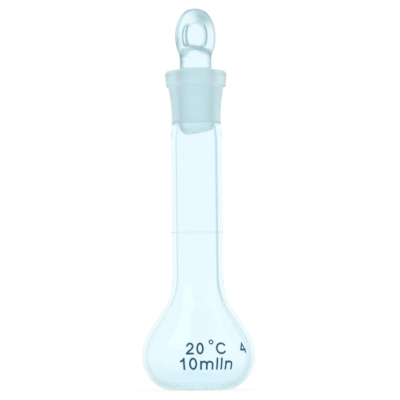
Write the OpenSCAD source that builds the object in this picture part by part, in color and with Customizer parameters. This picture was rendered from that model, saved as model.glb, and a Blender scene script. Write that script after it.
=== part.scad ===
// Volumetric flask, 10 ml, with a 10/13 ground joint and its solid glass stopper.
// Millimetres, +Z up. The origin is the middle of the base, on the table.
// The text of the enamel marks is left to the finish, and the line is cut where the flask holds
// its capacity, worked out from the hollow inside.

/* [Capacity] */
// Volume held up to the graduation line, in millilitres
capacity = 10; // [8.5:0.1:11.5]
// Width of the graduation line
line_w = 0.3; // [0.2:0.05:0.6]
// Depth of the graduation line in the glass
line_depth = 0.08; // [0.04:0.01:0.3]

/* [Bulb] */
// Outer diameter of the bulb at its widest
bulb_d = 28.4; // [26.5:0.1:30]
// Height of the widest part above the table
bulb_z = 8.4; // [7.8:0.1:9.4]
// Profile radius of the bulb above its widest part
crown_r = 11.3; // [9:0.1:12.5]
// Angle of the conical shoulder from upright
shoulder_angle = 33; // [28:0.5:38]
// Profile radius of the hollow curve between shoulder and neck
throat_r = 14; // [8:0.5:18]
// Wall of the bulb at its widest
bulb_wall = 0.85; // [0.7:0.05:1.4]

/* [Base] */
// Thickness of the floor
base_wall = 1.1; // [0.8:0.1:2.5]
// Diameter of the level floor inside
floor_d = 16.3; // [14:0.1:17]
// Radius of the floor's rounded edge inside
floor_edge_r = 2.5; // [1.5:0.1:3.5]
// Rise of the hollow underside in the middle
punt_h = 0.6; // [0.3:0.1:1.4]
// Outer diameter of the ring that the flask stands on
foot_d = 15.4; // [14.5:0.1:16.4]
// Width of that ring
foot_w = 1.2; // [0.8:0.1:2]
// Radius of the turned-up edge outside that ring
foot_edge_r = 1; // [0.6:0.1:1.6]

/* [Neck] */
// Height from the table to the rim
body_h = 80; // [74:0.5:92]
// Outer diameter of the neck
neck_d = 12.9; // [12.4:0.1:14]
// Wall of the neck
neck_wall = 1.2; // [0.9:0.05:1.5]
// Length over which the neck draws in to the socket, inside and out
draw_l = 5; // [3:0.5:8]

/* [Ground joint] */
// Diameter of the ground joint at the rim
joint_d = 10; // [9.4:0.1:10.8]
// Length of the ground socket
joint_l = 13; // [11:0.5:15]
// Length over which the joint's diameter falls by one millimetre
joint_taper = 10; // [8:0.5:14]
// Wall of the socket at its narrow end
socket_wall = 1.75; // [1.4:0.05:2.1]
// Gap all round between the seated stopper and its socket
fit_gap = 0.03; // [0.02:0.005:0.06]

/* [Rim collar] */
// Outer diameter of the collar at the rim
collar_d = 15.4; // [14.6:0.1:17]
// Height of the collar
collar_h = 3.9; // [2.5:0.1:6]
// Amount by which the collar's radius falls from its top to its foot
collar_draft = 0.2; // [0:0.05:0.4]
// Step in radius from the collar's foot to the flared neck
collar_step = 0.5; // [0.3:0.05:0.8]
// Radius of the collar's rounded top edge
collar_edge_r = 0.8; // [0.3:0.1:1.2]
// Bevel at the inner edge of the mouth
mouth_bevel = 0.3; // [0.1:0.05:0.5]

/* [Stopper plug] */
// Length of the plug below the rim, measured on its axis
plug_l = 15.2; // [13.5:0.1:17]
// Height of the ground plug that stands above the rim
plug_proud = 0.5; // [0.2:0.1:1.5]
// Slant of the plug's cut lower end
cut_angle = 11; // [0:0.5:15]
// Width of the bevel round the lower end
end_bevel = 1.3; // [0.8:0.1:2.4]
// Radius of the plug's rounded top edge
plug_edge_r = 0.5; // [0.2:0.05:0.9]

/* [Stopper grip] */
// Diameter of the stem
stem_d = 8; // [7:0.1:8.6]
// Height from the rim to the top of the grip
grip_h = 15.9; // [13:0.1:19]
// Width of the oval grip
grip_w = 10.2; // [9:0.1:13]
// Height of the oval, if it went on through the stem
grip_oval_h = 14.5; // [12:0.1:17]
// Thickness of the grip at its rim
grip_t = 4.8; // [4:0.1:6]
// Turn of the grip about the flask's axis
grip_turn = 8; // [0:1:180]
// Depth of the thumb hollow in each face
hollow_depth = 0.8; // [0.3:0.1:1.2]
// Width of the thumb hollow
hollow_w = 5.6; // [4:0.1:6]
// Height of the thumb hollow
hollow_h = 7.4; // [5:0.1:8]

/* [Hidden] */
$fn = 128;
GLASS = [0.86, 0.96, 0.99];
// Largest turn from one point of a round stretch to the next, in degrees
ARC_STEP = 5;
// Steps along each eased stretch
EASE_STEPS = 10;
// Points round the grip, and its rings below and above the oval's middle
GRIP_SIDES = 64;
GRIP_RINGS_LOW = 18;
GRIP_RINGS_HIGH = 18;
// How far a cutting shape passes the surface that it cuts
SPARE = 1;

bulb_r = bulb_d / 2;
neck_r = neck_d / 2;
foot_r = foot_d / 2;
stem_r = stem_d / 2;
bore_r = neck_r - neck_wall;

// Height of the socket's narrow end, and radius of the joint at a height
socket_z = body_h - joint_l;
function joint_r(z) = joint_d / 2 - (body_h - z) / (2 * joint_taper);

// Heights of the outer waist and of the collar's foot
waist_r = joint_r(socket_z) + socket_wall;
waist_z = socket_z + 0.05 * joint_l;
neck_top_z = waist_z - draw_l / 2;
collar_z = body_h - collar_h;
collar_r = collar_d / 2;
flare_r = collar_r - collar_draft - collar_step;

/* Curves, as lists of [radius, height] */

// Points on a circle from angle a to angle b, 0 pointing outwards and 90 upwards
function arc(centre, r, a, b) =
    let (steps = max(1, ceil(abs(b - a) / ARC_STEP)))
    [for (i = [0:steps]) let (t = a + (b - a) * i / steps) centre + r * [cos(t), sin(t)]];

// Curves joined end to end, without the points that they share
TINY = 0.0001;
function joined(curves) =
    let (all = [for (c = curves) each c])
    [for (i = [0:len(all) - 1]) if (i == 0 || norm(all[i] - all[i - 1]) > TINY) all[i]];

// Rise from 0 to 1 as x goes from a to b, level at both ends
function ease(x, a, b) =
    let (t = min(max((x - a) / (b - a), 0), 1))
    t * t * (3 - 2 * t);

// Points from p up or down to q that leave p and reach q upright
function upright_ease(p, q) =
    [for (i = [0:EASE_STEPS]) let (t = i / EASE_STEPS)
        [p[0] + (q[0] - p[0]) * ease(t, 0, 1), p[1] + (q[1] - p[1]) * t]];

// Points from the axis at height top out to radius r at height foot, level at both ends
function level_ease(top, r, foot) =
    [for (i = [0:EASE_STEPS]) let (t = i / EASE_STEPS)
        [r * t, top + (foot - top) * ease(t, 0, 1)]];

// The bulb from its widest part up to the neck: the crown's arc, the straight shoulder and the
// throat's arc, which meet without a corner. wide is the radius at the widest part.
function shoulder(wide, crown, throat, neck) =
    let (
        a = shoulder_angle,
        crown_c = [wide - crown, bulb_z],
        out = [cos(a), sin(a)],
        throat_x = neck + throat,
        // The throat's middle lies crown + throat from the crown's, measured square to the shoulder
        throat_z = bulb_z + (crown + throat - (throat_x - crown_c[0]) * out[0]) / out[1]
    )
    [each arc(crown_c, crown, 0, a), each arc([throat_x, throat_z], throat, 180 + a, 180)];

// The bulb from a level floor up to its widest part: a small arc of radius edge that starts level
// at radius flat and height z, and the heel's arc, which it meets without a corner.
function heel(flat, z, edge, wide) =
    let (
        across = wide - flat,
        up = bulb_z - z - edge,
        big = (across * across + up * up - edge * edge) / (2 * (across - edge)),
        edge_c = [flat, z + edge],
        big_c = [wide - big, bulb_z],
        meet = atan2(edge_c[1] - big_c[1], edge_c[0] - big_c[0])
    )
    [each arc(edge_c, edge, -90, meet), each arc(big_c, big, meet, 0)];

// Radius of the arc that leaves the waist upright and reaches the collar's foot
flare_rise = collar_z - waist_z;
flare_out = flare_r - waist_r;
flare_bend = (flare_rise * flare_rise + flare_out * flare_out) / (2 * flare_out);

outside_low = joined([
    level_ease(punt_h, foot_r - foot_w, 0),
    heel(foot_r, 0, foot_edge_r, bulb_r)
]);
outside_high = joined([
    shoulder(bulb_r, crown_r, throat_r, neck_r),
    upright_ease([neck_r, neck_top_z], [waist_r, waist_z]),
    arc([waist_r + flare_bend, waist_z], flare_bend, 180, 180 - asin(flare_rise / flare_bend))
]);
collar = joined([
    [[collar_r - collar_draft, collar_z]],
    arc([collar_r - collar_edge_r, body_h - collar_edge_r], collar_edge_r, 0, 90),
    [[joint_r(body_h) + mouth_bevel, body_h], [joint_r(body_h - mouth_bevel), body_h - mouth_bevel]]
]);

// The hollow, from the middle of the floor up to the socket's narrow end
floor_r = floor_d / 2;
hollow_r = bulb_r - bulb_wall;
draw_z = socket_z - draw_l;
hollow = joined([
    level_ease(base_wall + punt_h, floor_r - foot_w, base_wall),
    heel(floor_r, base_wall, floor_edge_r, hollow_r),
    shoulder(hollow_r, crown_r - bulb_wall, throat_r + neck_wall, bore_r),
    [for (a = [0:ARC_STEP * 3:90])
        [joint_r(socket_z) + (bore_r - joint_r(socket_z)) * cos(a), draw_z + draw_l * sin(a)]]
]);

/* The graduation line */

// Volume swept about the axis by one stretch of a curve, in cubic millimetres
function swept(p, q) = PI / 3 * (q[1] - p[1]) * (p[0] * p[0] + p[0] * q[0] + q[0] * q[0]);

// Volume under each point of a curve, from its start
function filled(curve, i = 0, sum = 0) =
    i == len(curve) - 1 ? [sum] : concat([sum], filled(curve, i + 1, sum + swept(curve[i], curve[i + 1])));

MM3_PER_ML = 1000;
hollow_filled = filled(hollow);
// The level rises only past the floor's domed middle, so the list starts after it
line_z = lookup(
    capacity * MM3_PER_ML,
    [for (i = [EASE_STEPS:len(hollow) - 1]) [hollow_filled[i], hollow[i][1]]]
);
line_r = lookup(line_z, [for (p = outside_high) [p[1], p[0]]]) - line_depth;

module graduation_line() {
    translate([0, 0, line_z - line_w / 2])
        difference() {
            cylinder(h = line_w, r = line_r + SPARE);
            translate([0, 0, -SPARE])
                cylinder(h = line_w + 2 * SPARE, r = line_r);
        }
}

module flask() {
    down = [for (i = [len(hollow) - 1:-1:0]) hollow[i]];
    color(GLASS)
        difference() {
            rotate_extrude()
                polygon(joined([outside_low, outside_high, collar, down]));
            graduation_line();
        }
}

/* The stopper */

function plug_r(z) = joint_r(z) - fit_gap;
plug_top_z = body_h + plug_proud;
cut_z = body_h - plug_l;
// The bevel starts on the plug's side where its cone meets the cut at its high side
bevel_z = cut_z + plug_r(cut_z) * tan(cut_angle);
plug_foot_z = bevel_z - end_bevel;

// The ground plug: a cone with a rounded top edge and a bevelled, slanted lower end
module plug() {
    difference() {
        rotate_extrude()
            polygon(concat(
                [[0, plug_foot_z], [plug_r(bevel_z) - end_bevel, plug_foot_z], [plug_r(bevel_z), bevel_z]],
                arc([plug_r(plug_top_z) - plug_edge_r, plug_top_z - plug_edge_r], plug_edge_r, 0, 90),
                [[0, plug_top_z]]
            ));
        translate([0, 0, cut_z])
            rotate([0, -cut_angle, 0])
                translate([-joint_d, -joint_d, -2 * joint_d])
                    cube(2 * joint_d);
    }
}

// The grip is a loft of oval rings. Each ring is a superellipse with its own half width, half
// thickness and squareness, from the round stem to the flat oval with a rounded rim.
grip_top_z = body_h + grip_h;
oval_b = grip_oval_h / 2;
oval_z = grip_top_z - oval_b;
root_z = body_h - plug_edge_r;
// Heights at which the stem starts to flatten and the faces are flat
flatten_z = oval_z - 0.73 * oval_b;
flat_z = oval_z - 0.33 * oval_b;
// The rim rounds over at the top along the last part of the thickness
cap_z = grip_top_z - 0.55 * grip_t;
ROUND = 2;
SQUARE = 2.7;
JOIN = 20;

// The oval is a little fuller above its middle than below
FULL = 2.2;
function oval_half_w(z) =
    let (k = z > oval_z ? FULL : ROUND)
    grip_w / 2 * pow(max(0, 1 - pow(abs(z - oval_z) / oval_b, k)), 1 / k);
function half_w(z) =
    let (stem = stem_r * (1 - ease(z, flat_z, oval_z)))
    pow(pow(oval_half_w(z), JOIN) + pow(stem, JOIN), 1 / JOIN);
function half_t(z) =
    let (over = max(0, (z - cap_z) / (grip_top_z - cap_z)))
    (stem_r + (grip_t / 2 - stem_r) * ease(z, flatten_z, flat_z)) * sqrt(max(0, 1 - over * over));
function squareness(z) =
    ROUND + (SQUARE - ROUND) * ease(z, flatten_z, flat_z) * (1 - ease(z, oval_z, grip_top_z));

// Depth of the thumb hollow at a place on the face: level inside, and up its sloping side to
// nothing at its outline, which is squarer at the bottom than at the top
hollow_mid_z = oval_z + 0.08 * oval_b;
HOLLOW_ARCH = 2;
HOLLOW_SILL = 3.2;
HOLLOW_LEVEL = 0.76;
function thumb_hollow(x, z) =
    let (
        up = z > hollow_mid_z,
        k = up ? HOLLOW_ARCH : HOLLOW_SILL,
        g = pow(pow(abs(x) / (hollow_w / 2), k) + pow(abs(z - hollow_mid_z) / (hollow_h / 2), k), 1 / k)
    )
    hollow_depth * (1 - ease(g, HOLLOW_LEVEL, 1));

function grip_point(z, turn) =
    let (
        m = squareness(z),
        reach = pow(pow(abs(cos(turn)) / half_w(z), m) + pow(abs(sin(turn)) / half_t(z), m), -1 / m),
        x = reach * cos(turn),
        y = reach * sin(turn)
    )
    [x, y - sign(y) * min(abs(y), thumb_hollow(x, z)), z];

grip_heights = concat(
    [root_z],
    [for (i = [0:GRIP_RINGS_LOW]) flatten_z + (oval_z - flatten_z) * i / GRIP_RINGS_LOW],
    [for (i = [1:GRIP_RINGS_HIGH]) oval_z + oval_b * sin(90 * i / (GRIP_RINGS_HIGH + 1))]
);

module grip() {
    n = GRIP_SIDES;
    rings = len(grip_heights);
    points = concat(
        [for (z = grip_heights) for (i = [0:n - 1]) grip_point(z, 360 * i / n)],
        [[0, 0, grip_top_z]]
    );
    sides = [for (r = [0:rings - 2]) for (i = [0:n - 1])
        let (a = r * n + i, b = r * n + (i + 1) % n)
        each [[a, a + n, b], [b, a + n, b + n]]];
    cap = [for (i = [0:n - 1]) [(rings - 1) * n + i, rings * n, (rings - 1) * n + (i + 1) % n]];
    rotate([0, 0, grip_turn])
        polyhedron(points, concat([[for (i = [0:n - 1]) i]], sides, cap));
}

module stopper() {
    color(GLASS)
        union() {
            plug();
            grip();
        }
}

flask();
stopper();
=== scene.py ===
"""Looks of a 10 ml volumetric flask and its ground-glass stopper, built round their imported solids.

Sizes are in millimetres and carry the names that the part's source gives them; they become metres
when a mesh is made. A profile is an array of (radius, height) points. Rings are closed loops of
points round the flask's axis, as an array (ring, side, xyz).
"""

import math

import bpy
import numpy as np
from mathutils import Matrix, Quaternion, Vector

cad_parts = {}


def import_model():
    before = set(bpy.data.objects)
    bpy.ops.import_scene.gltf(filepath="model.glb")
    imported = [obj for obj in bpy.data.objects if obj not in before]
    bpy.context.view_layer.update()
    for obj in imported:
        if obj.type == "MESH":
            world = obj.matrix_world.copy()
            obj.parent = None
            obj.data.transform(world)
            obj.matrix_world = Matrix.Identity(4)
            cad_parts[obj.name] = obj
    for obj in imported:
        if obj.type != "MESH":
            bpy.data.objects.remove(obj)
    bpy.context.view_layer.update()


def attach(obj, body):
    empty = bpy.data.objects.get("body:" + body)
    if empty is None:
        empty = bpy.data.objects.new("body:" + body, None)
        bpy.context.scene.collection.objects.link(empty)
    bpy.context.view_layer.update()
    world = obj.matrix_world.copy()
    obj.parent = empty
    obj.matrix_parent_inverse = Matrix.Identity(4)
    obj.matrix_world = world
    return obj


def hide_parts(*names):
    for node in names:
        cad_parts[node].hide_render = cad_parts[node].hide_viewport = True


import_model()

MM = 0.001

# Bulb
BULB_R = 14.2
BULB_Z = 8.4
CROWN_R = 11.3
SHOULDER_ANGLE = 33
THROAT_R = 14
BULB_WALL = 0.85

# Base
BASE_WALL = 1.1
FLOOR_R = 8.15
FLOOR_EDGE_R = 2.5
PUNT_H = 0.6
FOOT_R = 7.7
FOOT_W = 1.2
FOOT_EDGE_R = 1

# Neck
BODY_H = 80
NECK_R = 6.45
NECK_WALL = 1.2
DRAW_L = 5
LINE_Z = 39.35
LINE_W = 0.3

# Ground joint
JOINT_R = 5
JOINT_L = 13
JOINT_TAPER = 10
SOCKET_WALL = 1.75
FIT_GAP = 0.03

# Rim collar
COLLAR_R = 7.7
COLLAR_H = 3.9
COLLAR_DRAFT = 0.2
COLLAR_STEP = 0.5
COLLAR_EDGE_R = 0.8
MOUTH_BEVEL = 0.3

# Stopper plug
PLUG_L = 15.2
PLUG_PROUD = 0.5
CUT_ANGLE = 11
END_BEVEL = 1.3
PLUG_EDGE_R = 0.5

# Stopper grip
STEM_R = 4
GRIP_H = 15.9
GRIP_W = 10.2
GRIP_OVAL_H = 14.5
GRIP_T = 4.8
GRIP_TURN = 8
HOLLOW_DEPTH = 0.8
HOLLOW_W = 5.6
HOLLOW_H = 7.4

# Small edges that fire polishing leaves, which the solids keep sharp
POLISH = 0.12
STEM_FILLET = 0.3
LINE_EDGE = 0.03
COLLAR_FILLET = 0.3
COLLAR_FOOT_EDGE = 0.19

# The etched line's depth with its stain in it
LINE_DEPTH = 0.03

# Fineness of the meshes
ARC_STEP = 2
BAND = 0.5
EASE_STEPS = 24
BEND_POINTS = 7
FLASK_SIDES = 160
STOPPER_SIDES = 192

# Points of a curve that are nearer to each other than this are one point
SAME = 1e-4

bore_r = NECK_R - NECK_WALL
socket_z = BODY_H - JOINT_L
collar_z = BODY_H - COLLAR_H


def joint_r(z):
    """Radius of the ground joint at a height: its width falls by 1 in every JOINT_TAPER."""
    return JOINT_R - (BODY_H - z) / (2 * JOINT_TAPER)


# Curves


def arc(centre, r, start, end):
    """centre + r * (cos t, sin t), with t from start to end in degrees."""
    t = np.radians(np.linspace(start, end, max(2, math.ceil(abs(end - start) / ARC_STEP) + 1)))
    return np.asarray(centre) + r * np.column_stack([np.cos(t), np.sin(t)])


def ease(x, start, end):
    """Rise from 0 to 1 as x goes from start to end: t * t * (3 - 2 t), level at both ends."""
    t = np.clip((x - start) / (end - start), 0, 1)
    return t * t * (3 - 2 * t)


def upright_ease(p, q):
    """From p to q at an even pace in height, with the radius eased."""
    t = np.linspace(0, 1, EASE_STEPS + 1)
    return np.column_stack([p[0] + (q[0] - p[0]) * ease(t, 0, 1), p[1] + (q[1] - p[1]) * t])


def level_ease(top, r, foot):
    """From the axis at height top out to radius r at height foot, with the height eased."""
    t = np.linspace(0, 1, EASE_STEPS + 1)
    return np.column_stack([r * t, top + (foot - top) * ease(t, 0, 1)])


def shoulder(wide, crown, throat, neck):
    """Crown arc, straight shoulder and throat arc, tangent to each other, from the bulb's widest
    part up to the neck."""
    a = math.radians(SHOULDER_ANGLE)
    crown_x = wide - crown
    throat_x = neck + throat
    throat_z = BULB_Z + (crown + throat - (throat_x - crown_x) * math.cos(a)) / math.sin(a)
    return joined(
        arc([crown_x, BULB_Z], crown, 0, SHOULDER_ANGLE),
        arc([throat_x, throat_z], throat, 180 + SHOULDER_ANGLE, 180),
    )


def heel(flat, z, edge, wide):
    """A small arc of radius edge that starts level at radius flat, and the large arc tangent to it
    that ends upright at the bulb's widest part."""
    out, up = wide - flat, BULB_Z - z - edge
    big = (out**2 + up**2 - edge**2) / (2 * (out - edge))
    meet = math.degrees(math.atan2(z + edge - BULB_Z, flat - (wide - big)))
    return joined(arc([flat, z + edge], edge, -90, meet), arc([wide - big, BULB_Z], big, meet, 0))


def lengths(path):
    """Distance from each point of a path to the next."""
    return np.linalg.norm(np.diff(path, axis=0), axis=1)


def way_along(path):
    """Distance along a path to each of its points."""
    return np.r_[0, np.cumsum(lengths(path))]


def joined(*curves):
    """Curves end to end, without the points that they share."""
    points = np.vstack(curves)
    apart = lengths(points) > SAME
    return points[np.r_[True, apart]]


def shortened(path, reach):
    """path without the last reach of its length."""
    along = way_along(path)
    end = along[-1] - reach
    tip = [np.interp(end, along, places) for places in path.T]
    return np.vstack([path[along < end - SAME], tip])


def softened(first, second, reach=POLISH):
    """Both curves, with the corner between them replaced by a parabola that starts and ends reach
    from it. The parabola goes with the first."""
    corner = first[-1]
    a, b = shortened(first, reach), shortened(second[::-1], reach)[::-1]
    t = np.linspace(0, 1, BEND_POINTS)[:, None]
    bend = (1 - t) ** 2 * a[-1] + 2 * t * (1 - t) * corner + t**2 * b[0]
    return joined(a, bend), b


def line(*points):
    return np.array(points, float)


def finely(path):
    """The same path with its long stretches split evenly, so that no part is longer than BAND."""
    parts = np.ceil(lengths(path) / BAND).astype(int)
    places = np.concatenate([i + np.arange(n) / n for i, n in enumerate(parts)] + [[len(parts)]])
    return np.column_stack([np.interp(places, np.arange(len(path)), p) for p in path.T])


# Meshes


def closed(rings, poles):
    """Points and faces of a closed surface through rings, with a fan at each end to its pole."""
    count, sides = rings.shape[:2]
    here = np.arange(count * sides).reshape(count, sides)
    beside = np.roll(here, -1, axis=1)
    quads = np.stack([here[:-1], beside[:-1], beside[1:], here[1:]], -1).reshape(-1, 4)
    first, last = np.full(sides, count * sides), np.full(sides, count * sides + 1)
    fan = np.stack([first, beside[0], here[0]], -1)
    lid = np.stack([last, here[-1], beside[-1]], -1)
    return np.vstack([rings.reshape(-1, 3), poles]), [fan, quads, lid]


def skin(name, surfaces, materials, slots=0, shade=None):
    """One piece, in metres, of closed surfaces. slots gives each face's material slot, and shade is
    an attribute of its points that sets painted shade in the material."""
    points = np.vstack([surface[0] for surface in surfaces]) * MM
    faces, start = [], 0
    for own, parts in surfaces:
        for part in parts:
            faces += (part + start).tolist()
        start += len(own)
    mesh = bpy.data.meshes.new(name)
    mesh.from_pydata(points.tolist(), [], faces)
    mesh.polygons.foreach_set("material_index", np.broadcast_to(slots, len(faces)).astype(np.int32))
    mesh.polygons.foreach_set("use_smooth", np.ones(len(faces), bool))
    for material in materials:
        mesh.materials.append(material)
    if shade is not None:
        mesh.attributes.new("shade", "FLOAT", "POINT").data.foreach_set("value", shade)
    mesh.update()
    return shown(name, mesh)


def shown(name, mesh):
    piece = bpy.data.objects.new(name, mesh)
    bpy.context.scene.collection.objects.link(piece)
    return piece


def turned(profile, sides, start=0):
    """Rings (r cos a, r sin a, z) of a profile's points, with a from start once round."""
    a = np.radians(start) + np.linspace(0, 2 * np.pi, sides, endpoint=False)
    r, z = profile[:, :1], profile[:, 1:]
    return np.stack([r * np.cos(a), r * np.sin(a), np.broadcast_to(z, (len(z), sides))], -1)


# Shader arithmetic


class Wire:
    """A node's output that takes part in arithmetic: an expression on wires and numbers becomes
    Math nodes in the same tree. add() makes any other node."""

    def __init__(self, tree, socket=None):
        self.tree, self.socket = tree, socket

    def add(self, kind, settings, inputs, output=0):
        """A node of this kind, with its settings made first and then its inputs, given as numbers
        or wires by name or place. Returns the named output."""
        node = self.tree.nodes.new(kind)
        for name, value in settings.items():
            setattr(node, name, value)
        for name, value in inputs.items():
            if isinstance(value, Wire):
                self.tree.links.new(value.socket, node.inputs[name])
            else:
                node.inputs[name].default_value = value
        return Wire(self.tree, node.outputs[output]) if node.outputs else node

    def maths(self, operation, first, second=0.0):
        return self.add("ShaderNodeMath", {"operation": operation}, {0: first, 1: second})

    def __add__(self, other):
        return self.maths("ADD", self, other)

    def __sub__(self, other):
        return self.maths("SUBTRACT", self, other)

    def __rsub__(self, other):
        return self.maths("SUBTRACT", other, self)

    def __mul__(self, other):
        return self.maths("MULTIPLY", self, other)

    __radd__, __rmul__ = __add__, __mul__

    def negative(self):
        """This wire where it is below 0, and 0 elsewhere."""
        return self.maths("MINIMUM", self)

    def between(self, start, end):
        """0 up to start, 1 from end on and eased in between."""
        return self.add(
            "ShaderNodeMapRange",
            {"interpolation_type": "SMOOTHSTEP"},
            {"Value": self, "From Min": start, "From Max": end},
        )

    def mixed(self, low, high):
        """Colour low where this wire is 0 and high where it is 1."""
        return self.add(
            "ShaderNodeMix",
            {"data_type": "RGBA"},
            {0: self, 6: low, 7: high},
            output=2,
        )


def empty_tree(owner):
    owner.use_nodes = True
    owner.node_tree.nodes.clear()
    return Wire(owner.node_tree)


def new_material(name):
    material = bpy.data.materials.new(name)
    return material, empty_tree(material)


def object_place(tree):
    """Object coordinates of a point, in metres."""
    return tree.add("ShaderNodeTexCoord", {}, {}, output="Object")


def place_along(tree, axis):
    """Place of a point along X, Y or Z, in metres."""
    return tree.add("ShaderNodeSeparateXYZ", {}, {"Vector": object_place(tree)}, output=axis)


def height(tree):
    return place_along(tree, "Z")


def noise(tree, cells, detail=2.0, stretch=(1, 1, 1)):
    """Cloud noise from 0 to 1, with this many cells to a metre, stretched by a Mapping node."""
    place = tree.add("ShaderNodeMapping", {}, {"Vector": object_place(tree), "Scale": stretch})
    return tree.add("ShaderNodeTexNoise", {}, {"Vector": place, "Scale": cells, "Detail": detail})


def bumped(tree, grain, strength, distance):
    """Normal of a surface that grain raises by up to distance, in metres."""
    return tree.add(
        "ShaderNodeBump",
        {},
        {"Strength": strength, "Distance": distance, "Height": grain},
    )


def principled(tree, values):
    shader = tree.add("ShaderNodeBsdfPrincipled", {}, values)
    tree.add("ShaderNodeOutputMaterial", {}, {"Surface": shader})


def slant(tree):
    """How far a ray is from meeting the surface square on: 1 less the cosine of its angle."""
    return tree.add("ShaderNodeLayerWeight", {}, {"Blend": 0.5}, output="Facing")


def inside_glass(tree):
    """1 for a ray inside the glass, and 0 for one that comes through the air."""
    return tree.add("ShaderNodeNewGeometry", {}, {}, output="Backfacing")


def either_side(inside, from_air, from_glass):
    """from_air where inside is 0, and from_glass where it is 1."""
    return from_air * (1 - inside) + from_glass * inside


# Glass and enamel

GLASS = {"IOR": 1.47, "Transmission Weight": 1.0}
FLASK_TINT = (0.894, 0.975, 1.0, 1)
FLASK_EDGE_TINT = (0.825, 0.955, 0.985, 1)
JOINT_EDGE_TINT = (0.70, 0.96, 1.0, 1)
STOPPER_TINT = (0.80, 0.95, 1.0, 1)
THICK_TINT = (0.825, 0.94, 0.975, 1)
# The next five tints are painted shade: the darkness of surroundings that the glass bends into view
# at its edges, and a contact shadow at the foot.
PAINTED_HEEL_SHADE = (0.45, 0.70, 0.73, 1)
PAINTED_RIM_SHADE = (0.66, 0.82, 0.85, 1)
PAINTED_BORE_SHADE = (0.36, 0.60, 0.65, 1)
PAINTED_STOPPER_EDGE_SHADE = (0.30, 0.52, 0.58, 1)
STOPPER_SHADE_TINT = (0.08, 0.27, 0.33, 1)
GROUND_TINTS = (0.83, 0.955, 0.985, 1), (0.875, 0.975, 0.995, 1)
LINE_TINTS = (0.72, 0.85, 0.90, 1), (0.82, 0.93, 0.96, 1)
INK_COLOURS = (0.003, 0.085, 0.155, 1), (0.014, 0.125, 0.21, 1)
WHITE = (1, 1, 1, 1)

# Heights in metres between which a colour changes, and the same across for the right side. Those of
# the foot, heel, rims and bore place painted shade, and the plug's end limits a painted light.
FOOT_ENDS = 0.0001, 0.0006
HEEL_ENDS = 0.0015, 0.005
BASE_THINS = 0.0045, 0.0095
LOW_RIM_ENDS = 0.0060, 0.0092
BULB_ENDS = 0.020, 0.027
BORE_EDGE_STARTS = 0.002, 0.006
BORE_EDGE_DEEPENS = 0.018, 0.027
PLUG_END_STOPS = 0.0655, 0.067
RIGHT_SIDE = 0.001, 0.004

# Values of slant() between which a colour changes. Those of the stopper, the bore's edge, the heel
# and the rims place painted shade, and GROUND_SLANT a painted light.
WALL_FROM_AIR, WALL_FROM_GLASS = (0.38, 0.46), (0.15, 0.18)
JOINT_FROM_AIR, JOINT_FROM_GLASS = (0.22, 0.30), (0.095, 0.125)
STOPPER_FROM_AIR, STOPPER_FROM_GLASS = (0.32, 0.8), (0.1, 0.26)
BORE_FROM_AIR = 0.5, 0.9
CRITICAL = 0.267
BORE_EDGE_RISES, BORE_EDGE_FALLS = (0.23, CRITICAL), (CRITICAL, 0.31)
HEEL_SLANT = 0.35, 0.75
LOW_RIM_SLANT = 0.42, 0.68
RIM_SLANT = 0.70, 0.85
GROUND_SLANT = 0.4, 0.9

# How much more slant the bulb's wall takes, how much less slant the bore's painted shade needs on
# the right, and how strong some of the painted shade is
BULB_MORE_AIR, BULB_MORE_GLASS = 0.22, 0.06
RIGHT_LESS = 0.045
FOOT_SHADOW_STRENGTH = 0.8
LOW_RIM_SHADE_STRENGTH = 0.9
BULB_BORE_SHADE_STRENGTH = 0.4

# Noises: their cells to a metre, the values of them between which a colour changes, and their
# stretch, swing or depth, in metres
RIPPLE_CELLS, RIPPLE_STRETCH, RIPPLE_DEPTH = 180, (1, 1, 0.3), 0.0001
THICKNESS_CELLS, THICKNESS_SWING = 90, 0.002
CLOUD_CELLS, CLOUD_CHANGES = 150, (0.3, 0.7)
GRAIN_CELLS, GRAIN_DEPTH = 900, 0.00005
STAIN_CELLS = 600
PATCH_CELLS, PATCH_CHANGES, PATCH_DEPTH = 700, (0.3, 0.75), 0.00003
BUMP_STRENGTH = 0.3

# Roughness, and what a noise adds to it
GROUND_ROUGHNESS, GROUND_UNEVEN = 0.28, 0.06
LINE_ROUGHNESS = 0.25
INK_ROUGHNESS, INK_UNEVEN = 0.35, 0.25
INK_SHINE = 0.2


def glass(name, colour_of, ripple=0.0, frost=0.0):
    """Clear glass, or glass as rough as frost gives. colour_of makes its colour, and ripple is the
    strength of the slow waviness that blowing or pressing leaves."""
    material, tree = new_material(name)
    looks = {"Base Color": colour_of(tree), "Roughness": frost}
    if ripple:
        waves = noise(tree, RIPPLE_CELLS, stretch=RIPPLE_STRETCH)
        looks["Normal"] = bumped(tree, waves, ripple, RIPPLE_DEPTH)
    principled(tree, GLASS | looks)
    return material


def wall_colour(tree):
    """The flask's tint, deeper towards the thick heel and floor."""
    uneven = noise(tree, THICKNESS_CELLS) * THICKNESS_SWING
    thick = 1 - (height(tree) + uneven).between(*BASE_THINS)
    return thick.mixed(FLASK_TINT, THICK_TINT)


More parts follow.
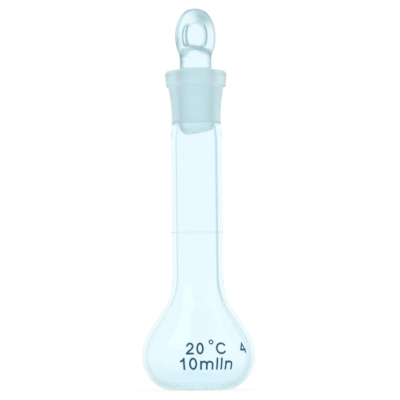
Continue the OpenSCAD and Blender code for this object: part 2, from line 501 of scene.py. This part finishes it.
def outer_colour(tree):
    """The wall's colour, deeper where a ray passes along inside the wall and misses the hollow.
    Painted shade, for the dark surroundings that the glass bends into view, darkens the bulb's rim,
    most of all low down, and round the heel, and a painted contact shadow darkens the foot. The wall
    is a smaller share of the bulb's width than of the neck's, so it takes more slant there."""
    facing, inside, up = slant(tree), inside_glass(tree), height(tree)
    bulb = 1 - up.between(*BULB_ENDS)
    edge = either_side(
        inside,
        (facing - bulb * BULB_MORE_AIR).between(*WALL_FROM_AIR),
        (facing - bulb * BULB_MORE_GLASS).between(*WALL_FROM_GLASS),
    )
    # These masks are painted shade: the bulb's rim, its low rim, the heel's sides and, along the
    # foot, a painted contact shadow.
    rim = facing.between(*RIM_SLANT) * (1 - inside) * bulb
    low_rim_shade = facing.between(*LOW_RIM_SLANT) * (1 - up.between(*LOW_RIM_ENDS)) * (1 - inside)
    sides = facing.between(*HEEL_SLANT) * (1 - up.between(*HEEL_ENDS))
    foot = (sides + (1 - up.between(*FOOT_ENDS)) * FOOT_SHADOW_STRENGTH) * (1 - inside)
    wall = edge.mixed(wall_colour(tree), rim.mixed(FLASK_EDGE_TINT, PAINTED_RIM_SHADE))
    bulb_wall = (low_rim_shade * LOW_RIM_SHADE_STRENGTH).mixed(wall, PAINTED_RIM_SHADE)
    return foot.mixed(bulb_wall, PAINTED_HEEL_SHADE)


def joint_colour(tree):
    """The wall's colour, deeper where a ray passes along inside the joint's thick wall."""
    facing, inside = slant(tree), inside_glass(tree)
    edge = either_side(
        inside, facing.between(*JOINT_FROM_AIR), facing.between(*JOINT_FROM_GLASS)
    )
    return edge.mixed(FLASK_TINT, JOINT_EDGE_TINT)


def bore_colour(tree):
    """The wall's colour, with painted shade where a ray all but skims the bore, from either side: a
    dark line for the dark surroundings that the glass bends into view. Seen from the glass, that is
    round the critical angle. The painted shade is widest on the object's right, strongest in the
    neck, fades over the shoulder and isn't there on the floor."""
    facing, inside, up = slant(tree), inside_glass(tree), height(tree)
    right = place_along(tree, "X").between(*RIGHT_SIDE)
    near = (facing + right * RIGHT_LESS).between(*BORE_EDGE_RISES)
    from_glass = near * (1 - facing.between(*BORE_EDGE_FALLS))
    edge = either_side(inside, facing.between(*BORE_FROM_AIR), from_glass)
    low = up.between(*BORE_EDGE_STARTS) * BULB_BORE_SHADE_STRENGTH
    strength = low + up.between(*BORE_EDGE_DEEPENS) * (1 - BULB_BORE_SHADE_STRENGTH)
    return (edge * strength).mixed(wall_colour(tree), PAINTED_BORE_SHADE)


def stopper_colour(tree):
    """The stopper's tint, with painted shade, for dark surroundings that the glass bends into view,
    where a ray enters or leaves the solid glass at a slant and where the mesh's shade is above 0.
    Where the shade is below 0 it takes that painted shade from the slanted places."""
    facing, inside = slant(tree), inside_glass(tree)
    edge = either_side(
        inside, facing.between(*STOPPER_FROM_AIR), facing.between(*STOPPER_FROM_GLASS)
    )
    shade = tree.add("ShaderNodeAttribute", {"attribute_name": "shade"}, {}, output="Fac")
    edge = edge + shade.negative()
    return shade.mixed(edge.mixed(STOPPER_TINT, PAINTED_STOPPER_EDGE_SHADE), STOPPER_SHADE_TINT)


def ground_glass():
    """Frosted glass: its fine grain spreads what passes. Above the plug's end, the plug and socket
    are painted lighter towards white at a slant, a painted light that lifts their shaded edges."""
    material, tree = new_material("ground_glass")
    grain, cloud = noise(tree, GRAIN_CELLS, detail=4.0), noise(tree, CLOUD_CELLS)
    square_on = cloud.between(*CLOUD_CHANGES).mixed(*GROUND_TINTS)
    # Painted light: lighter towards white at a slant, above the plug's end.
    painted_light = slant(tree).between(*GROUND_SLANT) * height(tree).between(*PLUG_END_STOPS)
    principled(tree, GLASS | {
        "Base Color": painted_light.mixed(square_on, WHITE),
        "Roughness": GROUND_ROUGHNESS + grain * GROUND_UNEVEN,
        "Normal": bumped(tree, grain, BUMP_STRENGTH, GRAIN_DEPTH),
    })
    return material


def etched_line():
    """Glass as rough as etching leaves it, with an uneven stain."""
    material, tree = new_material("etched_line")
    principled(tree, GLASS | {
        "Base Color": noise(tree, STAIN_CELLS).mixed(*LINE_TINTS),
        "Roughness": LINE_ROUGHNESS,
    })
    return material


def enamel():
    """Fired ink, patchy in colour and gloss, with a slightly uneven face."""
    material, tree = new_material("enamel")
    patches = noise(tree, PATCH_CELLS, detail=3.0)
    principled(tree, {
        "Base Color": patches.between(*PATCH_CHANGES).mixed(*INK_COLOURS),
        "Roughness": INK_ROUGHNESS + patches * INK_UNEVEN,
        "Specular IOR Level": INK_SHINE,
        "Normal": bumped(tree, patches, BUMP_STRENGTH, PATCH_DEPTH),
    })
    return material


# The flask: one profile from under the base, up the outside, over the rim and down the inside

OUTER, BORE, GROUND, ETCHED, FROSTED = range(5)

# The hollow's draw-in below the socket, in steps of this many degrees, and how many of its points
# the grinding still reaches
DRAW_STEP = 5
GROUND_STEPS = 6

# The outside's own draw-in: how far above the socket's end it stops, as a share of the joint's
# length, and its point where the frosting starts
WAIST_RISE = 0.05
FROST_STEP = 14

# How rough the frosted outside of the joint is, and how wavy the blown hollow
FROST = 0.3
BORE_RIPPLE = 0.1


def flask_profile():
    """The profile's points, and the material slot of each band between them."""
    under = level_ease(PUNT_H, FOOT_R - FOOT_W, 0)
    bulb = shoulder(BULB_R, CROWN_R, THROAT_R, NECK_R)
    waist_r = joint_r(socket_z) + SOCKET_WALL
    waist_z = socket_z + WAIST_RISE * JOINT_L
    draw = upright_ease([NECK_R, waist_z - DRAW_L / 2], [waist_r, waist_z])
    low, high = LINE_Z - LINE_W / 2, LINE_Z + LINE_W / 2
    neck = line([NECK_R, bulb[-1, 1]], [NECK_R, low])
    mid = [NECK_R - LINE_DEPTH, LINE_Z]
    lower, upper = line([NECK_R, low], mid), line(mid, [NECK_R, high])
    above = line(upper[-1], draw[0])
    flare_out = COLLAR_R - COLLAR_DRAFT - COLLAR_STEP - waist_r
    rise = collar_z - waist_z
    bend = (rise**2 + flare_out**2) / (2 * flare_out)
    flare = arc([waist_r + bend, waist_z], bend, 180, 180 - math.degrees(math.asin(rise / bend)))
    foot = line(flare[-1], [COLLAR_R - COLLAR_DRAFT, collar_z])
    edge = arc([COLLAR_R - COLLAR_EDGE_R, BODY_H - COLLAR_EDGE_R], COLLAR_EDGE_R, 0, 90)
    side = line(foot[-1], edge[0])
    rim = line(edge[-1], [joint_r(BODY_H) + MOUTH_BEVEL, BODY_H])
    bevel = line(rim[-1], [joint_r(BODY_H - MOUTH_BEVEL), BODY_H - MOUTH_BEVEL])
    socket = line(bevel[-1], [joint_r(socket_z), socket_z])
    t = np.radians(np.arange(90, -1, -DRAW_STEP))
    tip_r, draw_z = joint_r(socket_z), socket_z - DRAW_L
    draw_in = np.column_stack([tip_r + (bore_r - tip_r) * np.cos(t), draw_z + DRAW_L * np.sin(t)])
    ground_in, clear_in = draw_in[:GROUND_STEPS], draw_in[GROUND_STEPS - 1 :]
    hollow = joined(
        level_ease(BASE_WALL + PUNT_H, FLOOR_R - FOOT_W, BASE_WALL),
        heel(FLOOR_R, BASE_WALL, FLOOR_EDGE_R, BULB_R - BULB_WALL),
        shoulder(BULB_R - BULB_WALL, CROWN_R - BULB_WALL, THROAT_R + NECK_WALL, bore_r),
    )[::-1]
    neck, lower = softened(neck, lower, LINE_EDGE)
    lower, upper = softened(lower, upper, LINE_EDGE)
    upper, above = softened(upper, above, LINE_EDGE)
    flare, foot = softened(flare, foot, COLLAR_FILLET)
    foot, side = softened(foot, side, COLLAR_FOOT_EDGE)
    rim, bevel = softened(rim, bevel)
    bevel, socket = softened(bevel, socket)
    stretches = [
        (joined(under, heel(FOOT_R, 0, FOOT_EDGE_R, BULB_R), bulb, neck), OUTER),
        (joined(lower, upper), ETCHED),
        (joined(above, draw[: FROST_STEP + 1]), OUTER),
        (joined(draw[FROST_STEP:], flare, foot, side, edge, rim, bevel), FROSTED),
        (joined(socket, ground_in), GROUND),
        (joined(clear_in, hollow), BORE),
    ]
    points = [finely(path) for path, _ in stretches]
    slots = np.concatenate([np.full(len(p), s) for p, (_, s) in zip(points, stretches)])
    whole = np.vstack(points)
    kept = np.r_[lengths(whole) > SAME, True]
    return whole[kept], slots[kept]


def blown_flask():
    """The flask: its profile turned about the axis, from the middle of the base's underside to the
    middle of the floor inside."""
    profile, slots = flask_profile()
    rings = turned(profile[1:-1], FLASK_SIDES)
    poles = [[0, 0, profile[0, 1]], [0, 0, profile[-1, 1]]]
    materials = [
        glass("blown_glass", outer_colour),
        glass("bore_glass", bore_colour, ripple=BORE_RIPPLE),
        ground_glass(),
        etched_line(),
        glass("frosted_glass", joint_colour, frost=FROST),
    ]
    face_slots = np.repeat(slots[:-1], FLASK_SIDES)
    flask = skin("blown_flask", [closed(rings, poles)], materials, face_slots)
    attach(flask, "flask")
    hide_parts("flask")
    return flask


# The stopper: one skin from the middle of its slanted end up to the top of the grip

# Rings along each part of the plug and stem, the first ring's radius, and how far below the grip's
# first ring the last one lies
END_RINGS, BEVEL_RINGS, CONE_RINGS, STEM_RINGS = 24, 16, 12, 8
FIRST_RING_R = 0.15
RING_GAP = 0.05

# How far above the bevel the rounding of the slanted cut still reaches
CUT_REACH = 0.3

# The grip's own rings: their step, and those of the cap, which start a little below it
GRIP_RING_STEP = 0.16
CAP_RINGS = 40
CAP_LEAD = 1

# How wavy pressing leaves the glass
PRESS_RIPPLE = 0.15


def plug_r(z):
    return joint_r(z) - FIT_GAP


def plug_rings():
    """Turned rings of the plug and stem. Below the slanted cut each point rises to it: its height
    is the larger of the turned profile's and the cut's, with a slightly rounded edge between."""
    cut_z = BODY_H - PLUG_L
    slope = math.tan(math.radians(CUT_ANGLE))
    bevel_z = cut_z + plug_r(cut_z) * slope
    foot_z = bevel_z - END_BEVEL
    top_z = BODY_H + PLUG_PROUD
    wide_r = plug_r(bevel_z)
    end = np.linspace([FIRST_RING_R, foot_z], [wide_r - END_BEVEL, foot_z], END_RINGS)
    bevel = np.linspace([wide_r - END_BEVEL, foot_z], [wide_r, bevel_z], BEVEL_RINGS)
    edge = arc([plug_r(top_z) - PLUG_EDGE_R, top_z - PLUG_EDGE_R], PLUG_EDGE_R, 0, 90)
    cone = np.linspace(bevel[-1], edge[0], CONE_RINGS)
    land = line(edge[-1], [STEM_R, top_z])
    stem = np.linspace([STEM_R, top_z], [STEM_R, flatten_z - RING_GAP], STEM_RINGS)
    bevel, cone = softened(bevel, cone)
    land, stem = softened(land, stem, STEM_FILLET)
    ground = joined(end, bevel, cone, edge)
    ground, stem = finely(ground), finely(joined(land, stem))
    profile = joined(ground, stem)
    rings = turned(profile, STOPPER_SIDES, GRIP_TURN)
    x, z = rings[..., 0], rings[..., 2]
    cut = cut_z + x * slope
    risen = (z + cut + np.hypot(z - cut, POLISH)) / 2
    rings[..., 2] = np.where(z < bevel_z + CUT_REACH, risen, z)
    return rings, len(ground), cut_z


# Shares of half the oval's height from its middle down to where the stem starts to flatten and to
# where it is flat, and up to the hollow's middle, and the cap's height as a share of the thickness
FLATTEN_DROP = 0.73
FLAT_DROP = 0.33
HOLLOW_RISE = 0.08
CAP_SHARE = 0.55

grip_top_z = BODY_H + GRIP_H
oval_b = GRIP_OVAL_H / 2
oval_z = grip_top_z - oval_b
flatten_z = oval_z - FLATTEN_DROP * oval_b
flat_z = oval_z - FLAT_DROP * oval_b
cap_z = grip_top_z - CAP_SHARE * GRIP_T
hollow_mid_z = oval_z + HOLLOW_RISE * oval_b

# Exponents of superellipses: the round sections and the squarest ones, the join of the oval and
# the stem, the oval's upper half, and the hollow's outline above and below its middle
ROUND, SQUARE, JOIN, FULL = 2, 2.7, 20, 2.2
HOLLOW_ARCH, HOLLOW_SILL = 2, 3.2

# How far out the hollow's floor stays level, as a share of the way to its outline
HOLLOW_LEVEL = 0.76

turn_cos, turn_sin = math.cos(math.radians(GRIP_TURN)), math.sin(math.radians(GRIP_TURN))


def hollow_reach(x, z):
    """How far out a point of the face lies in the hollow, from 0 in its middle to 1 at its outline,
    a superellipse |x / w|^k + |z / h|^k = 1 that is round above its middle and squarer below."""
    k = np.where(z > hollow_mid_z, HOLLOW_ARCH, HOLLOW_SILL)
    out, up = np.abs(x) / (HOLLOW_W / 2), np.abs(z - hollow_mid_z) / (HOLLOW_H / 2)
    return (out**k + up**k) ** (1 / k)


def thumb_hollow(x, z):
    """Depth of the hollow: level inside and eased to nothing at its outline."""
    return HOLLOW_DEPTH * (1 - ease(hollow_reach(x, z), HOLLOW_LEVEL, 1))


# Where painted shade lies on the hollow's wall, as shares of the way to its outline, where its
# sides are, in millimetres from the middle, and how much less the slant's painted shade darkens it
# between them
WALL_SHADE_STARTS, WALL_SHADE_ENDS = (0.77, 0.90), (0.94, 1.05)
HOLLOW_SIDES = 0.8, 2.4
RELIEF = 0.7

# Spots of painted shade on the pressed glass, for dark surroundings that it bends into view:
# place across and below the top, half width, half height, lean and strength
PAINTED_SHADE_SPOTS = [
    (1.7, -2.4, 2.1, 1.5, -0.5, 0.6),
    (-4.9, -9.2, 0.9, 2.2, 0.2, 0.8),
    (1.5, -10.9, 2.4, 0.7, -0.45, 0.8),
    (-3.7, -13.5, 0.7, 2.2, 0, 0.8),
]


def shade_of(points):
    """How much painted shade the stopper's colour takes: along the sides of the hollow's steep wall,
    and in spots that fade as exp(-(a^2 + b^2)), with a and b across and up from each one's middle.
    It is below 0 on the wall between its sides, where it takes away the slant's painted shade."""
    across, z = points[..., 0], points[..., 2]
    x = across * turn_cos + points[..., 1] * turn_sin
    g = hollow_reach(x, z)
    wall = ease(g, *WALL_SHADE_STARTS) * (1 - ease(g, *WALL_SHADE_ENDS))
    shade = wall * ((1 + RELIEF) * ease(np.abs(x), *HOLLOW_SIDES) - RELIEF)
    for place, down, half_w, half_h, lean, strength in PAINTED_SHADE_SPOTS:
        a = (across - place) / half_w
        b = (z - grip_top_z - down - lean * (across - place)) / half_h
        shade = np.maximum(shade, strength * np.exp(-(a**2 + b**2)))
    return shade


def grip_rings():
    """Each ring is the superellipse |x / w|^m + |y / t|^m = 1 in polar form. w joins the stem and
    the oval, t goes from the stem's radius to half the grip's thickness, and m from ROUND to SQUARE
    and back. The thumb hollow is taken from each face, and the whole is turned about the axis."""
    low = np.arange(flatten_z, cap_z - CAP_LEAD, GRIP_RING_STEP)
    rise = np.sin(np.linspace(0, np.pi / 2, CAP_RINGS))
    high = grip_top_z - (grip_top_z - low[-1]) * (1 - rise)
    z = np.r_[low, high[1:-1]][:, None]
    k = np.where(z > oval_z, FULL, ROUND)
    grip = GRIP_W / 2 * (1 - (np.abs(z - oval_z) / oval_b) ** k) ** (1 / k)
    stem = STEM_R * (1 - ease(z, flat_z, oval_z))
    w = (grip**JOIN + stem**JOIN) ** (1 / JOIN)
    over = np.clip((z - cap_z) / (grip_top_z - cap_z), 0, 1)
    flattened = ease(z, flatten_z, flat_z)
    t = (STEM_R + (GRIP_T / 2 - STEM_R) * flattened) * np.sqrt(1 - over**2)
    m = ROUND + (SQUARE - ROUND) * flattened * (1 - ease(z, oval_z, grip_top_z))
    a = np.linspace(0, 2 * np.pi, STOPPER_SIDES, endpoint=False)
    reach = ((np.abs(np.cos(a)) / w) ** m + (np.abs(np.sin(a)) / t) ** m) ** (-1 / m)
    x, y = reach * np.cos(a), reach * np.sin(a)
    y = y - np.sign(y) * np.minimum(np.abs(y), thumb_hollow(x, z))
    turned_x, turned_y = x * turn_cos - y * turn_sin, x * turn_sin + y * turn_cos
    return np.stack([turned_x, turned_y, np.broadcast_to(z, x.shape)], -1)


def pressed_stopper(ground):
    """The stopper, with the flask's ground glass on its first bands, up to the plug's top edge."""
    plug, ground_rings, end_z = plug_rings()
    rings = np.concatenate([plug, grip_rings()])
    poles = [[0, 0, end_z], [0, 0, grip_top_z]]
    materials = [glass("pressed_glass", stopper_colour, ripple=PRESS_RIPPLE), ground]
    surface = closed(rings, poles)
    slots = np.repeat(np.arange(len(rings) + 1) < ground_rings, STOPPER_SIDES)
    stopper = skin("pressed_stopper", [surface], materials, slots, shade_of(surface[0]))
    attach(stopper, "stopper")
    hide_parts("stopper")


# Enamel marks on the bulb: strokes of ink along the middle lines of plain upright letters

INK_WIDTH = 0.5
FINE_INK_WIDTH = 0.34
INK_PROUD = 0.03
INK_STEP = 0.08
INK_LEAST_POINTS = 12
INK_SIDES = 16

# Letters, for a height of 1
OVAL_POINTS = 48
SWING_POINTS = 24
LETTER_GAP = 0.42
SMALL_HEIGHT = 0.7
ARCH_SPRING = 0.43


def oval(x, y, across, up, start, end):
    """(x + across cos t, y + up sin t), with t from start to end in degrees."""
    t = np.radians(np.linspace(start, end, OVAL_POINTS))
    return np.column_stack([x + across * np.cos(t), y + up * np.sin(t)])


def swung(a, b, c, d):
    """The cubic curve from a to d that leaves towards b and arrives from c."""
    a, b, c, d = line(a, b, c, d)
    t = np.linspace(0, 1, SWING_POINTS)[:, None]
    return a * (1 - t) ** 3 + 3 * b * t * (1 - t) ** 2 + 3 * c * t**2 * (1 - t) + d * t**3


def arch(x, across):
    """A small letter's arch from its left stem at x over and down to the table."""
    top = oval(x + across / 2, ARCH_SPRING, across / 2, SMALL_HEIGHT - ARCH_SPRING, 180, 0)
    return joined(top, line([x + across, 0]))


TALL_STROKE = line([0, 0], [0, 1])
SMALL_STROKE = line([0, 0], [0, SMALL_HEIGHT])

# Each letter's width and the middle lines of its strokes, as (across, up), for a height of 1
LETTERS = {
    "0": (0.56, [oval(0.28, 0.5, 0.28, 0.5, 90, 450)]),
    "1": (0.46, [
        line([0.34, 0], [0.34, 1]),
        swung([0.34, 0.98], [0.28, 0.86], [0.16, 0.78], [0.06, 0.74]),
    ]),
    "2": (0.62, [
        joined(
            oval(0.3, 0.71, 0.29, 0.29, 168, -28),
            swung([0.556, 0.574], [0.46, 0.38], [0.14, 0.24], [0.01, 0]),
        ),
        line([0, 0], [0.62, 0]),
    ]),
    "4": (0.52, [
        line([0.44, 0], [0.44, 1]),
        line([0.44, 1], [0, 0.3]),
        line([0, 0.28], [0.52, 0.28]),
    ]),
    "C": (0.9, [oval(0.5, 0.5, 0.5, 0.5, 40, 320)]),
    "I": (0, [TALL_STROKE]),
    "l": (0, [TALL_STROKE]),
    "m": (1.04, [SMALL_STROKE, arch(0, 0.52), arch(0.52, 0.52)]),
    "n": (0.6, [SMALL_STROKE, arch(0, 0.6)]),
    "o": (1, [oval(0.5, 0.5, 0.5, 0.5, 90, 450)]),
}


def lengthened(path, reach):
    """path with both ends moved on by reach."""
    out = path[[0, -1]] - path[[1, -2]]
    ends = path[[0, -1]] + out * reach / np.linalg.norm(out, axis=1, keepdims=True)
    return np.vstack([ends[0], path, ends[1]])


def stroke(path, width):
    """A closed ridge of ink along a flat path. Its section is the superellipse x^4 + y^4 = 1,
    stretched to the width and the thickness. Over the last third of its width it narrows as
    (1 - e^3)^(1/3), with e from 0 to 1 at the end."""
    path = lengthened(path, width / 2)
    along = way_along(path)
    count = max(INK_LEAST_POINTS, math.ceil(along[-1] / INK_STEP))
    even = np.linspace(0, along[-1], count)
    middle = np.column_stack([np.interp(even, along, places) for places in path.T])
    to_end = np.minimum(even, even[::-1]) / (width / 3)
    half = width / 2 * (1 - np.clip(1 - to_end, 0, 1) ** 3) ** (1 / 3)
    way = np.gradient(middle, axis=0)
    way /= np.linalg.norm(way, axis=1, keepdims=True)
    side = np.column_stack([-way[:, 1], way[:, 0]])
    t = np.linspace(0, 2 * np.pi, INK_SIDES, endpoint=False)
    out, up = (np.sign(f) * np.sqrt(np.abs(f)) for f in (np.cos(t), np.sin(t)))
    flat = middle[:, None] + side[:, None] * half[:, None, None] * out[:, None]
    lift = INK_PROUD * up * (half / half.max())[:, None]
    rings = np.concatenate([flat, lift[..., None]], -1)[1:-1]
    return rings, np.column_stack([middle[[0, -1]], [0, 0]])


def on_bulb(flat):
    """Points (across, up, lift) laid on the bulb: across is wound round its widest circle from the
    front, up is the height and lift goes outwards."""
    outside = joined(
        heel(FOOT_R, 0, FOOT_EDGE_R, BULB_R), shoulder(BULB_R, CROWN_R, THROAT_R, NECK_R)
    )
    a, z = flat[..., 0] / BULB_R, flat[..., 1]
    r = np.interp(z, outside[:, 1], outside[:, 0]) + flat[..., 2]
    return np.stack([r * np.sin(a), -r * np.cos(a), z], -1)


def mark(name, word, left, right, foot, head, finish, width=INK_WIDTH, lean=0):
    """A word on the bulb between two angles from the front, in degrees, and two heights. The
    letters stand side by side and are stretched to fill that space. lean moves their heads
    sideways."""
    paths, x = [], 0
    for letter in word:
        letter_width, lines = LETTERS[letter]
        paths += [path + [x, 0] for path in lines]
        x += letter_width + LETTER_GAP
    points = np.vstack(paths)
    low, high = points.min(0), points.max(0)
    start = np.array([math.radians(left) * BULB_R, foot]) + width / 2
    end = np.array([math.radians(right) * BULB_R, head]) - width / 2
    surfaces = []
    for path in paths:
        flat = start + (path - low) / (high - low) * (end - start)
        flat[:, 0] += lean * (flat[:, 1] - start[1])
        rings, poles = stroke(flat, width)
        surfaces.append(closed(on_bulb(rings), on_bulb(poles)))
    piece = skin(name, surfaces, [finish])
    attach(piece, "flask")


flask = blown_flask()
pressed_stopper(flask.data.materials[GROUND])
ink = enamel()
mark("temperature_mark", "20", -12.9, 5.4, 8.95, 11.9, ink)
mark("degree_mark", "o", 10.5, 15.8, 11.35, 12.6, ink, FINE_INK_WIDTH)
mark("celsius_mark", "C", 17.7, 28.4, 8.95, 11.9, ink)
mark("capacity_mark", "10mlIn", -19.1, 36.4, 5.15, 8.2, ink)
mark("batch_mark", "4", 48.2, 57.3, 9.15, 11.85, ink, lean=-0.5)


# Floor, light and camera

FLOOR_SIZE = 12

# How plain white the floor shows at the object, and the distances in metres over which that rises
# to all of it
FLOOR_GLOW = 0.85
FLOOR_FADE = 0.03, 0.3

# The level of the world's light, and what the lamps aim at
LIGHT_LEVEL = 0.97
LAMP_AIM = (0, 0, 0.05)


def seen(tree):
    """1 for a ray from the camera, or one that metal or glass passes on, and 0 for light."""
    rays = ("Is Camera Ray", "Is Glossy Ray", "Is Transmission Ray")
    found = [tree.add("ShaderNodeLightPath", {}, {}, output=ray) for ray in rays]
    return (found[0] + found[1] + found[2]).between(0, 1)


def floor():
    """A plain white plane. Round the object it takes light and shadow, and further out it shows as
    the background does."""
    mesh = bpy.data.meshes.new("floor")
    half = FLOOR_SIZE / 2
    corners = [(-half, -half, 0), (half, -half, 0), (half, half, 0), (-half, half, 0)]
    mesh.from_pydata(corners, [], [(0, 1, 2, 3)])
    material, tree = new_material("pale_floor")
    away = tree.add(
        "ShaderNodeVectorMath",
        {"operation": "LENGTH"},
        {0: object_place(tree)},
        output="Value",
    )
    plain = seen(tree) * (FLOOR_GLOW + away.between(*FLOOR_FADE) * (1 - FLOOR_GLOW))
    matt = tree.add("ShaderNodeBsdfDiffuse", {}, {"Color": WHITE})
    white = tree.add("ShaderNodeEmission", {}, {"Color": WHITE, "Strength": 1.0})
    both = tree.add("ShaderNodeMixShader", {}, {0: plain, 1: matt, 2: white})
    tree.add("ShaderNodeOutputMaterial", {}, {"Surface": both})
    mesh.materials.append(material)
    plane = shown("floor", mesh)


def world(level):
    """White wherever it is seen, and light of this level, at which a colour renders true."""
    sky = bpy.data.worlds.new("studio")
    bpy.context.scene.world = sky
    tree = empty_tree(sky)
    strength = level + seen(tree) * (1 - level)
    back = tree.add("ShaderNodeBackground", {}, {"Color": WHITE, "Strength": strength})
    tree.add("ShaderNodeOutputWorld", {}, {"Surface": back})


def softbox(name, place, size, power):
    """A rectangular lamp of this width, height and power in watts that faces LAMP_AIM."""
    lamp = bpy.data.lights.new(name, "AREA")
    lamp.shape, lamp.size, lamp.size_y, lamp.energy = "RECTANGLE", size[0], size[1], power
    light = bpy.data.objects.new(name, lamp)
    light.location = place
    way = Vector(LAMP_AIM) - Vector(place)
    light.rotation_euler = way.to_track_quat("-Z", "Y").to_euler()
    bpy.context.scene.collection.objects.link(light)


EYE = Vector((0.00075, -0.680, 0.014))
AIM = Vector((0.00075, 0.0, 0.04758))
VIEW_WIDTH = 0.10045
ROLL = -0.6
SENSOR_WIDTH = 36
NEAR, FAR = 0.05, 20
GLASS_BOUNCES = 128


def camera():
    """A camera at EYE that sees VIEW_WIDTH across at AIM, rolled by ROLL degrees."""
    lens = bpy.data.cameras.new("camera")
    lens.sensor_width = SENSOR_WIDTH
    lens.lens = lens.sensor_width * (AIM - EYE).length / VIEW_WIDTH
    lens.clip_start, lens.clip_end = NEAR, FAR
    eye = bpy.data.objects.new("camera", lens)
    eye.location = EYE
    eye.rotation_mode = "QUATERNION"
    roll = Quaternion((0, 0, 1), math.radians(ROLL))
    eye.rotation_quaternion = (AIM - EYE).to_track_quat("-Z", "Y") @ roll
    bpy.context.scene.collection.objects.link(eye)
    bpy.context.scene.camera = eye


floor()
world(LIGHT_LEVEL)
softbox("key", (-0.6, -0.5, 0.7), (0.7, 0.9), 1.2)
softbox("fill", (0.7, -0.3, 0.5), (0.6, 0.8), 0.5)
camera()
bpy.context.scene.view_settings.view_transform = "Standard"

# Light that enters the solid glass of the base and the grip is reflected inside it many times
# before it leaves, and it shows black where it is given up too early
paths = bpy.context.scene.cycles
paths.max_bounces = paths.glossy_bounces = paths.transmission_bounces = GLASS_BOUNCES
